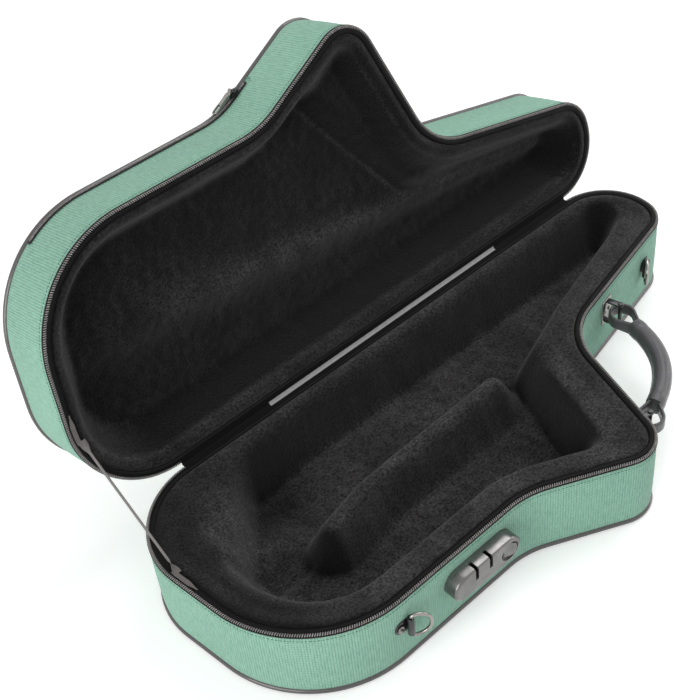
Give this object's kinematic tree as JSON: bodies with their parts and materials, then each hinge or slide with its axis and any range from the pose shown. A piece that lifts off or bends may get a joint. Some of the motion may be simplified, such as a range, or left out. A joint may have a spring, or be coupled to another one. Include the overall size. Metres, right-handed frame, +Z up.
{
  "type": "alto saxophone case",
  "caption": "Shaped zip-round case for an alto saxophone: hinged plush-lined halves, lid stay, leather handle, strap rings and a lock for the zip pulls.",
  "frame": {"origin": "on the underside of the base, at mid length and mid width of the base's outline", "axes": "+X to the neck end, -Y to the side with the handle and the lock, +Z up; the hinge runs along X at the back"},
  "size_m": [0.6423, 0.4345, 0.357],
  "materials": {
    "canvas": "matt green woven canvas",
    "trim": "black tape, piping and rim facing",
    "plush": "black short-pile plush over moulded foam",
    "foam": "rigid foam board",
    "webbing": "grey woven webbing",
    "leather": "dark grey pebbled leather",
    "zipper": "dark grey nylon coil",
    "steel": "bright plated steel",
    "graphite": "dark satin coated metal"
  },
  "bodies": {
    "base": {"base_shell": "foam", "base_cover": "canvas", "base_panel": "canvas", "base_piping": "trim", "base_rim_band": "trim", "base_zip_tape": "trim", "base_zip_coil": "zipper", "base_lining": "plush", "base_hinge_strip": "webbing", "base_hinge_gusset": "canvas", "stay_tab_base": "webbing", "lid_stay": "trim", "lock_body": "graphite", "lock_plate": "steel", "lock_spring": "steel", "handle_bracket_neck": "steel", "handle_bracket_bell": "steel", "ring_plate_bow": "graphite", "ring_rivet_bow": "steel", "ring_clip_bow": "graphite", "ring_plate_neck": "graphite", "ring_rivet_neck": "steel", "ring_clip_neck": "graphite"},
    "lid": {"lid_shell": "foam", "lid_cover": "canvas", "lid_panel": "canvas", "lid_piping": "trim", "lid_rim_band": "trim", "lid_zip_tape": "trim", "lid_zip_coil": "zipper", "lid_lining": "plush", "lid_hinge_strip": "webbing", "lid_hinge_gusset": "canvas", "stay_tab_lid": "webbing", "pocket_zip_tape": "trim", "pocket_zip_coil": "zipper", "grab_strap": "trim", "grab_patch_neck": "leather", "grab_patch_bell": "leather"},
    "handle": {"handle_loop_neck": "leather", "handle_loop_bell": "leather", "handle_grip": "leather"},
    "button": {"lock_button": "graphite"},
    "latch": {"lock_latch": "steel"},
    "slider_bow": {"zip_slider_bow": "graphite"},
    "pull_bow": {"zip_pull_bow": "steel"},
    "slider_neck": {"zip_slider_neck": "graphite"},
    "pull_neck": {"zip_pull_neck": "steel"},
    "pocket_slider": {"pocket_slider": "graphite"},
    "pocket_pull": {"pocket_pull": "steel"},
    "ring_bow": {"strap_ring_bow": "steel"},
    "ring_neck": {"strap_ring_neck": "steel"}
  },
  "joints": [
    {"name": "lid_hinge", "type": "hinge", "parent": "base", "child": "lid", "pos_m": [0, 0.1425, 0.084], "axis": [1, 0, 0], "range_deg": [0, 106], "deforming": ["lid_stay"]},
    {"name": "handle_swing", "type": "hinge", "parent": "base", "child": "handle", "pos_m": [0.19566, 0.00831, 0.052], "axis": [-0.6424, -0.7664, 0], "range_deg": [-30, 30]},
    {"name": "button_press", "type": "slide", "parent": "base", "child": "button", "axis": [-0.017, 0.9999, 0], "range_m": [0, 0.0025], "stiffness_N_per_m": 300, "springref_m": -0.003, "deforming": ["lock_spring"]},
    {"name": "latch_slide", "type": "slide", "parent": "base", "child": "latch", "axis": [-0.9999, -0.017, 0], "range_m": [0, 0.003]},
    {"name": "slider_bow_run", "type": "slide", "parent": "base", "child": "slider_bow", "axis": [1, 0, 0], "range_m": [-0.056, 0]},
    {"name": "pull_bow_swing", "type": "hinge", "parent": "slider_bow", "child": "pull_bow", "pos_m": [-0.17803, 0.1475, 0.0782], "axis": [1, 0, 0], "range_deg": [0, 60]},
    {"name": "slider_neck_run", "type": "slide", "parent": "base", "child": "slider_neck", "axis": [1, 0, 0], "range_m": [0, 0.056]},
    {"name": "pull_neck_swing", "type": "hinge", "parent": "slider_neck", "child": "pull_neck", "pos_m": [0.20631, 0.1475, 0.0782], "axis": [1, 0, 0], "range_deg": [0, 60]},
    {"name": "pocket_slider_run", "type": "hinge", "parent": "lid", "child": "pocket_slider", "pos_m": [-0.07001, 0.29643, 0.38319], "axis": [0, 0.9613, -0.2756], "range_deg": [0, 22]},
    {"name": "pocket_pull_swing", "type": "hinge", "parent": "pocket_slider", "child": "pocket_pull", "pos_m": [-0.03419, 0.2761, 0.31229], "axis": [0, 0.9613, -0.2756], "range_deg": [0, 150]},
    {"name": "ring_bow_swing", "type": "hinge", "parent": "base", "child": "ring_bow", "pos_m": [-0.19898, -0.10304, 0.048], "axis": [0, 0, 1], "range_deg": [-100, 28]},
    {"name": "ring_neck_swing", "type": "hinge", "parent": "base", "child": "ring_neck", "pos_m": [0.27027, 0.03632, 0.048], "axis": [0, 0, 1], "range_deg": [-28, 100]}
  ],
  "couplings": [
    {"joint": "latch_slide", "follows": "button_press", "ratio": 1.2}
  ]
}
